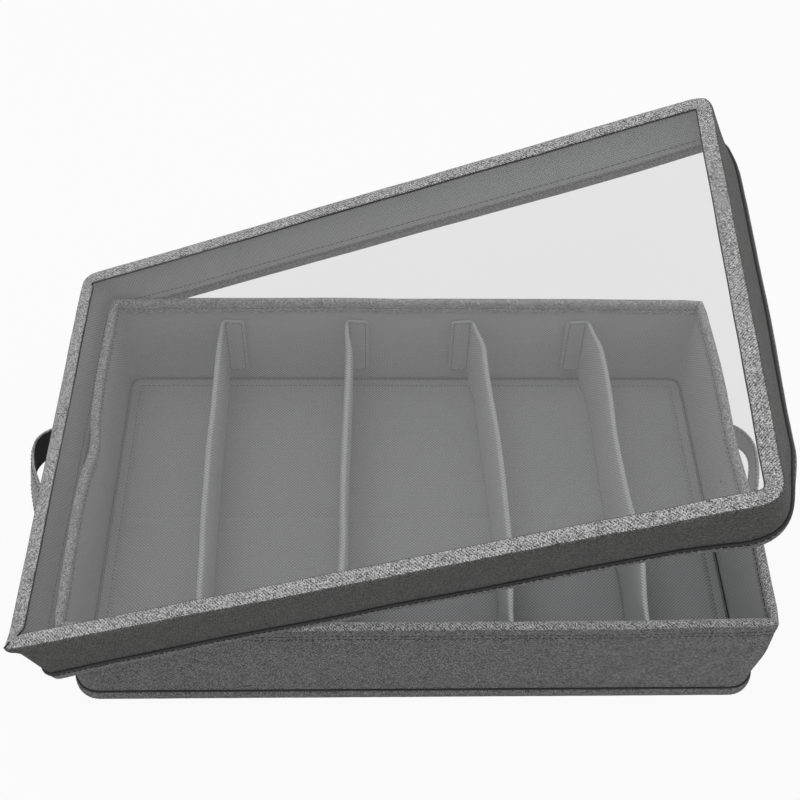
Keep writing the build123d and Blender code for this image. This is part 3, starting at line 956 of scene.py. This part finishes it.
# %% Divider cloth, cards and stitches
panel_half = panel_thick / 2
for number in (1, 2, 3, 4):
    low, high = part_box(f"divider_{number}_cover")
    body = f"divider_{number}"
    line, shape = divider_line(number), divider_shape(number)
    fold = 1.2 * MM
    profile = flat_section(panel_half, -panel_half, low.z, high.z, 1.6 * MM, fold)
    padded_cloth = piece(f"{body}_cloth", strip_along(line, profile, shape), body, soft_lining,
                         [f"{body}_cover"])
    board_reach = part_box(f"{body}_board")[1].y
    card_line = [at for at in line if abs(at[0].y) < board_reach]
    thin = 0.6 * MM
    card_profile = flat_section(thin, -thin, low.z + MM, high.z - 1.5 * MM, 8 * MM)

    def in_card(point, outward, along, out, up):
        middle = shape(point, outward, along, 0, up)
        return middle + outward * out

    piece(f"{body}_card", strip_along(card_line, card_profile, in_card), body, card,
          [f"{body}_board"])
    rows = []
    turn = divider_ends(number)[2]
    for end in (1, -1):
        room_side = -turn * end
        flap = [at for at in line if at[0].y * end > 0]
        total = lengths([at[0] for at in line])[-1]
        flap = [at for at in flap if 2.2 * MM < (1 - abs(at[2])) * total / 2 < flap_reach - 1.5 * MM]
        for height in (low.z + 2.2 * MM, high.z - 2.4 * MM):
            places = [shape(*at, room_side * panel_half, height) for at in flap]
            rows.append(stitch_row(places, [at[1] * room_side for at in flap]))
        for at in (flap[0], flap[-1]):
            heights = even(low.z + 2.2 * MM, high.z - 2.4 * MM, 3 * MM)
            places = [shape(*at, room_side * panel_half, height) for height in heights]
            rows.append(stitch_row(places, [at[1] * room_side] * len(places)))
    piece(f"{body}_stitches", gathered(rows), body, grey_thread)

# %% [markdown]
# ## Handles
# Each handle is a wide folded tape. Both ends are sewn flat to the end wall and the tape between
# them stands off in a loop, so it twists as it leaves the wall. The two have been pulled about
# differently, and the left one is backed with a black tape. The right one's back is very pale,
# which is painted light on a face that hangs in shade. A rigid loop would tear from its ends
# when it swings.

# %% Strap ribbons
strap_low, strap_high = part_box("left_handle_tabs")
strap_width = strap_high.z - strap_low.z
strap_thin = 1.6 * MM
loop_front, loop_back = -50 * MM, 60 * MM    # where a loop leaves the wall
loop_rise = 2.5 * MM
loops = {                                    # reach, where it is widest, carry, lean and its change
    -1: (44.0 * MM, 0.66, 14 * MM, radians(12.8), radians(55)),
    1: (26.2 * MM, 0.80, 18 * MM, radians(-1.4), radians(-49.5)),
}
tab_end = strap_high.y


def strap_edge(side, y):
    """The upper edge of a strap, how free of the wall it is, and how far along its loop."""
    reach, widest, carry = loops[side][:3]
    share = held((loop_back - y) / (loop_back - loop_front))
    swell = sin(pi * share)
    off_wall = reach * sin(pi * share ** widest) ** 0.75 if 0 < share < 1 else 0
    edge = Vector((side * (tray_x + 0.15 * MM + strap_thin / 2 + off_wall),
                   y + carry * swell, strap_high.z + loop_rise * swell ** 1.2))
    return edge, soft_step(swell * 2.2), share


def strap_place(side, y, out, down):
    """A place on a strap: out from its middle layer, down from its upper edge."""
    edge, free, share = strap_edge(side, y)
    lean, change = loops[side][3:]
    lean = (lean + change * (share - 0.5)) * free
    width_way = Vector((side * sin(lean), 0, -cos(lean)))
    along = (strap_edge(side, y + 0.5 * MM)[0] - strap_edge(side, y - 0.5 * MM)[0]).normalized()
    normal = width_way.cross(along).normalized() * side
    middle = down - strap_width / 2
    cup = 0.9 * MM * free * (2 * middle / strap_width) ** 2
    wave = 0.7 * MM * free * soft_noise((y, down, side), 22 * MM, 91)
    drop = 1.2 * MM * free * soft_noise((y, 0, side), 35 * MM, 95)
    place = edge + width_way * down + normal * (out - cup + wave) + Vector((0, 0, drop))
    wall = wall_shift(Vector((side * tray_x, y, 0)), Vector((side, 0, 0)), strap_high.z - down)
    return place + wall * (1 - free)


# The right back's very pale colour is painted light, for a face that hangs in shade.
strap_backs = {"left": heather_canvas("strap_back_black", 0.006, 0.04),
               "right": heather_canvas("strap_back_painted_light", 0.75, 0.95)}
ribbon_y = even(-tab_end, tab_end, 1.5 * MM)
half_thin = strap_thin / 2
for side_name, side in (("left", -1), ("right", 1)):
    body = f"{side_name}_handle"
    profile = flat_section(half_thin, -half_thin, 0, strap_width, 1.2 * MM, 0.6 * MM)
    ribbon_line = [(Vector((0, y, 0)), y) for y in ribbon_y]
    bm = strip_along(ribbon_line, profile, lambda at, y, out, down: strap_place(side, y, out, down))
    ribbon = piece(f"{side_name}_strap", bm, body, [canvas, strap_backs[side_name]],
                   [f"{body}_strap", f"{body}_tabs"], ride=False)
    second_finish(ribbon, strap_width, 2 * strap_width)
    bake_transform(ribbon)
    tape_length = lengths([strap_place(side, y, 0, strap_width / 2) for y in ribbon_y])[-1]
    print(f"{side_name} strap: tape {tape_length * 1000:.0f} mm long")
    rows = []
    for down in (2.4 * MM, strap_width - 2.4 * MM):
        for face_side in (1, -1):
            places = [strap_place(side, y, face_side * half_thin, down) for y in ribbon_y]
            middles = [strap_place(side, y, 0, down) for y in ribbon_y]
            normals = [(place - middle).normalized() for place, middle in zip(places, middles)]
            rows.append(stitch_row(places, normals))
    for end in (1, -1):
        for y in (end * (tab_end - 1.5 * MM), end * (tab_end - 4.5 * MM)):
            heights = even(2.4 * MM, strap_width - 2.4 * MM, 3 * MM)
            places = [strap_place(side, y, half_thin, down) for down in heights]
            rows.append(stitch_row(places, [Vector((side, 0, 0))] * len(places)))
    threads = piece(f"{side_name}_strap_stitches", gathered(rows), body, dark_thread_and_seam_shade,
                    ride=False)
    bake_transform(threads)

# %% [markdown]
# ## The lid
# The lid's cloth, lining and bound hem go round the same outline, and all follow `lid_shift`,
# which holds how the soft skirt gives. It spreads at the right end, draws in along the sides and
# hangs shorter towards the front right. The front left corner of the frame stands out as an ear
# over a softer skirt, and the hem turns the front right corner in a wider arc. Everything is
# made on the shut lid, where out and up are plain directions, and each place is then turned open.

# %% How the lid's skirt gives
side_tuck, front_tuck = 2.4 * MM, 2.8 * MM   # long sides drawn in, and the front's right half more
left_spread, right_spread = 1.0 * MM, 5.4 * MM
ear_depth, ear_end = 9 * MM, 5 * MM          # an ear's depth below the top, and where it fades in
corner_shapes = {                            # (right, back): how far its top and its hem stand out
    (False, False): (4.4 * MM, -1.5 * MM),
    (False, True): (0.6 * MM, -1.5 * MM),
    (True, True): (1.8 * MM, -1.5 * MM),
    (True, False): (0.8 * MM, 0.0),
}
hem_rise, right_rise = 3.5 * MM, 3.5 * MM    # the skirt is short, most of all at the front right
left_in = 3.0 * MM                           # the left end sits closer to the tray
big_corner = 26 * MM                         # the hem's front right corner is rounder than the rest


def rounder(point):
    """Moves a place near the front right corner in on to a bigger arc."""
    centre = Vector((lid_x - big_corner, big_corner - lid_y, 0))
    away = Vector((point.x, point.y, 0)) - centre
    if away.x <= 0 or away.y >= 0:
        return Vector()
    return away.normalized() * (big_corner - away.length)


def lid_shift(point, outward, up):
    """How far a place on the lid lies from where a stiff lid would be, at a height above its hem."""
    drop = 1 - held((up - hem_z) / (lid_z - hem_z))
    free = drop ** 1.3
    on_long = abs(outward.y) ** 3
    on_right = max(0.0, outward.x) ** 3
    on_left = max(0.0, -outward.x) ** 3
    from_ends = max(0.0, lid_x - abs(point.x)) / (60 * MM)
    corner_rest = 18 * MM if point.y < 0 else 0
    from_sides = max(0.0, lid_y - corner_rest - abs(point.y)) / (32 * MM)
    to_right = 0.5 + 0.5 * point.x / lid_x
    tuck = side_tuck + (front_tuck * to_right if outward.y < 0 else 0)
    out = -tuck * on_long * free * soft_step(from_ends)
    out += free * (right_spread * on_right + left_spread * on_left) * soft_step(from_sides)
    sharp, hem_turn = corner_shapes[(point.x > 0, point.y > 0)]
    ear = point_of_corner(outward)
    on_ear = (1 - drop) ** 1.5
    if point.x < 0:
        on_ear = soft_step((up - lid_z + ear_depth) / ear_end)
    out += (ear - 0.2 * ear ** 3) * sharp * on_ear
    out += (2 * outward.x * outward.y) ** 2 * hem_turn * free
    out += 0.9 * MM * free * soft_noise((point.x, point.y, up * 0.6), 60 * MM, 101)
    rumple = bell(lid_z - up, 9 * MM)
    out += 0.35 * MM * rumple * soft_noise((point.x, point.y, up), 24 * MM, 107)
    lift = 0.5 * MM * soft_noise((point.x, point.y, 0), 70 * MM, 111)
    to_front = soft_step(0.5 - 0.5 * point.y / lid_y)
    lift += drop * (hem_rise + right_rise * to_right * to_front)
    settled = Vector((left_in * on_left, 0, lift))
    return outward * out + settled + rounder(point) * free


def on_lid(point, outward, out, up):
    """A place on the standing lid: so far out from the skirt's outer face, so far up."""
    shut = point + outward * out + Vector((0, 0, up)) + lid_shift(point, outward, up)
    return open_lid @ shut


def lid_way(direction):
    """A direction on the shut lid, turned open."""
    return open_lid.to_3x3() @ direction


lid_line = wall_line(lid_x, lid_y, lid_corner)
lid_loop = lid_line + lid_line[:1]
print("lid outline:", len(lid_line), "points")

# %% [markdown]
# ## The lid's cloths
# The outside cloth goes up the skirt, over the edge and in as a flat frame, where its raw edge is
# turned under round the window. The lining goes up the inside and out under the film, so the film
# is held between the two. Both are closed sections carried round, like the tray's cover.

# %% Lid cloth
frame_edge = 1.7 * MM                        # the folded edge of the cloth frame


def on_lid_cover(point, outward, out, up):
    """The lid's outside cloth, a little full across its frame."""
    place = on_lid(point, outward, out, up)
    if up > lid_z - 0.5 * MM and out < -2 * MM:
        from_edge = lid_border + out
        puff = 0.35 * MM * (1 + soft_noise((point.x + out, point.y, 0), 12 * MM, 121))
        dip = -puff * sin(pi * held(from_edge / lid_border))
        place -= lid_way(Vector((0, 0, dip)))
    return place


lid_section = section([
    (0, hem_low.z + 0.8 * MM, 0),
    (0, lid_z, 1.6 * MM),
    (-lid_border, lid_z, 0.6 * MM),
    (-lid_border, lid_z - frame_edge + 0.8 * MM, 0.3 * MM),
    (-lid_border + 3 * MM, lid_z - lid_cloth, 0),
    (-lid_cloth, lid_z - lid_cloth, 0),
    (-lid_cloth, hem_low.z + 0.8 * MM, 0),
], step=1.5 * MM)
# The skirt takes the darkest, warm copy of the canvas, painted shade; the frame takes the plain one.
lid_cloth_piece = piece("lid_cloth", strip_round(lid_line, lid_section, on_lid_cover), "lid",
                        [canvas_skirt_painted_shade, canvas], ["lid_cover"])
second_finish(lid_cloth_piece, lid_z - hem_low.z - 0.8 * MM)

# %% Lid lining
lining_section = section([
    (-skirt_depth + lid_lining, hem_low.z + 0.8 * MM, 0),
    (-skirt_depth + lid_lining, film_low, 0),
    (-lid_border, film_low, 0),
    (-lid_border, film_low - lid_lining, 0),
    (-skirt_depth, film_low - lid_lining, 0.5 * MM),
    (-skirt_depth, hem_low.z + 0.8 * MM, 0),
], step=2.2 * MM)
piece("lid_lining_cloth", strip_round(lid_line, lining_section, on_lid), "lid", soft_lining,
      ["lid_lining"])

# %% [markdown]
# ## The lid's hem, cards and stitches
# A folded tape binds the skirt's lower edge, and its section is a hook that holds cloth, card and
# lining. A dark cord lies in the seam above it and a finer one round the window, both painted
# shade for the shadow in those seams, and the hem and the lining have rows of real stitches. Only
# one corner of the frame shows its mitred seam, as a dark cord of painted shade.

# %% Lid hem
hem_out, hem_in = hem_high.x - lid_x, -skirt_depth - 0.3 * MM


def on_hem(point, outward, out, up):
    """The bound hem, full between its edges."""
    place = on_lid(point, outward, out, up)
    share = sin(pi * held((up - hem_z) / (hem_high.z - hem_z)))
    side = 1 if out > -skirt_depth / 2 else -0.2
    lump = 1 + soft_noise((point.x, point.y, up), 9 * MM, 131)
    return place + lid_way(outward) * side * share * 0.35 * MM * lump


hem_section = section([
    (hem_out, hem_z, 0.7 * MM),
    (hem_out, hem_high.z, 0.5 * MM),
    (0, hem_high.z, 0),
    (0, hem_z + 0.8 * MM, 0),
    (-skirt_depth, hem_z + 0.8 * MM, 0),
    (-skirt_depth, hem_high.z, 0),
    (hem_in, hem_high.z, 0.2 * MM),
    (hem_in, hem_z, 0.6 * MM),
], step=1.3 * MM)
piece("lid_hem", strip_round(lid_line, hem_section, on_hem), "lid", canvas_tape,
      ["lid_hem_binding"])

# %% Lid cards
lid_card_low, lid_card_high = hem_z + 1.2 * MM, film_low - 0.3 * MM
for name, test in (
    ("lid_front_board", lambda p, o: p.y < -lid_y + MM and abs(p.x) < lid_x - lid_corner),
    ("lid_back_board", lambda p, o: p.y > lid_y - MM and abs(p.x) < lid_x - lid_corner),
    ("lid_left_board", lambda p, o: p.x < -lid_x + MM and abs(p.y) < lid_y - lid_corner),
    ("lid_right_board", lambda p, o: p.x > lid_x - MM and abs(p.y) < lid_y - lid_corner),
):
    inset = 0.1 * MM
    outer, inner = -lid_cloth - inset, -skirt_depth + lid_lining + inset
    profile = flat_section(outer, inner, lid_card_low, lid_card_high, 8 * MM)
    bm = strip_along(stretch(lid_line, test), profile, on_lid)
    piece(name + "_card", bm, "lid", card, [name])

# %% Stitches of the lid
up_way = lid_way(Vector((0, 0, 1)))
corner = Vector((lid_corner - lid_x, lid_corner - lid_y, 0))
outward = Vector((-1, -1, 0)).normalized()
places = [on_lid_cover(corner + outward * lid_corner, outward, out, lid_z)
          for out in even(-lid_border * 0.55, -0.5 * MM, MM)]
# The mitre's dark cord: painted shade along its seam.
rows = [stitch_row(places, [up_way] * len(places), width=1.1 * MM, dive=0)]
hem_row = hem_high.z - 1.5 * MM
# The first two are dark cords, painted shade for the seam above the hem and round the window.
for surface, out, up, side, thread in (
    (on_lid_cover, 0.1 * MM, hem_high.z + 0.5 * MM, 1, {"width": 1.8 * MM, "dive": 0}),
    (on_lid_cover, -lid_border, lid_z - 1.2 * MM, -1, {"width": 0.8 * MM, "dive": 0}),
    (on_hem, hem_out, hem_row, 1, {}),
    (on_hem, hem_in, hem_row, -1, {}),
    (on_hem, -skirt_depth, hem_row + 5.5 * MM, -1, {}),
):
    rows.append(sewn(lid_loop, surface, out, up, side, lid_way, **thread))
piece("lid_stitches_and_seam_shade", gathered(rows), "lid", dark_thread_and_seam_shade)

# %% [markdown]
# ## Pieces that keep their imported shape
# The window, the base panel, the mat's backing and cards and the hook tapes are right as they
# are. They only need a finish, and because they have no cloth map it reads object coordinates.

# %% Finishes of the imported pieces
def finish_node(name, material):
    """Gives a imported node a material."""
    nodes[name].data.materials.clear()
    nodes[name].data.materials.append(material)


finish_node("lid_window", clear_film)
finish_node("base_panel", heather_canvas("base_canvas", 0.02, 0.10, flat=True))
finish_node("floor_mat_backing", embossed_lining("mat_backing", 0.16, flat=True))
for name in ("floor_mat_front_board", "floor_mat_back_board"):
    finish_node(name, card)
for number in (1, 2, 3, 4):
    finish_node(f"divider_{number}_hook_tapes", hooks)

# %% [markdown]
# ## Floor and light
# The floor and the surroundings are plain white to the camera, and the floor still takes the
# chest's shadow. A light-path node does that: rays from the camera, or seen in a gloss or through
# the film, get white, and the rays that light the chest get a plainer grey. The light itself is
# soft: an even sky, and one wide lamp overhead and a little to the left, so tops are lighter
# than fronts.

# %% Floor
bm = bmesh.new()
bmesh.ops.create_grid(bm, x_segments=1, y_segments=1, size=4.0)
mesh = bpy.data.meshes.new("floor")
bm.to_mesh(mesh)
bm.free()
floor = bpy.data.objects.new("floor", mesh)
bpy.context.scene.collection.objects.link(floor)
floor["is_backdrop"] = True


def shown_white(finish, source, share, output):
    """Shows plain white, for this share, to rays seen by the camera, in a gloss or through film."""
    rays = seen = finish.node("ShaderNodeLightPath", output="Is Camera Ray")
    for kind in ("Is Glossy Ray", "Is Transmission Ray"):
        seen = seen.maths("MAXIMUM", seen, Wire(finish, rays.socket.node.outputs[kind]))
    white = finish.node(source, {"Color": grey(1.0), "Strength": 1.0})
    lit = Wire(finish, finish.shader.outputs[0])
    mixed = finish.node("ShaderNodeMixShader", {0: seen * share, 1: lit, 2: white})
    finish.tree.links.new(mixed.socket, finish.tree.nodes[output].inputs["Surface"])


floor_finish = Finish("floor")
floor_finish.set(Base_Color=grey(0.50), Roughness=0.9, Specular_IOR_Level=0.0)
white_share = 0.93                           # the rest still shows the shadow
shown_white(floor_finish, "ShaderNodeEmission", white_share, "Material Output")
mesh.materials.append(floor_finish.result)

# %% Light
sky_strength, lamp_power = 0.68, 14.0        # the lamp's in watts
lamp_place = Vector((-0.25, -0.1, 1.6))

sky = Finish("studio", "worlds", "Background")
sky.set(Color=grey(1.0), Strength=sky_strength)
shown_white(sky, "ShaderNodeBackground", 1.0, "World Output")
bpy.context.scene.world = sky.result

lamp_data = bpy.data.lights.new("soft_lamp", "AREA")
lamp_data.shape = "RECTANGLE"
lamp_data.size, lamp_data.size_y = 1.6, 1.0
lamp_data.energy = lamp_power
lamp = bpy.data.objects.new("soft_lamp", lamp_data)
bpy.context.scene.collection.objects.link(lamp)
facing = (-lamp_place).to_track_quat("-Z", "Y").to_matrix().to_4x4()
lamp.matrix_world = Matrix.Translation(lamp_place) @ facing
print("sky", sky_strength, "and a lamp of", lamp_power, "W")

# %% Finish
bpy.context.scene.view_settings.view_transform = "Standard"
look_low, look_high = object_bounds()
sizes = {"cad": [list(cad_low), list(cad_high)], "visual": [list(look_low), list(look_high)]}
for name, (low, high) in sizes.items():
    print(name, [round((b - a) * 1000, 1) for a, b in zip(low, high)])
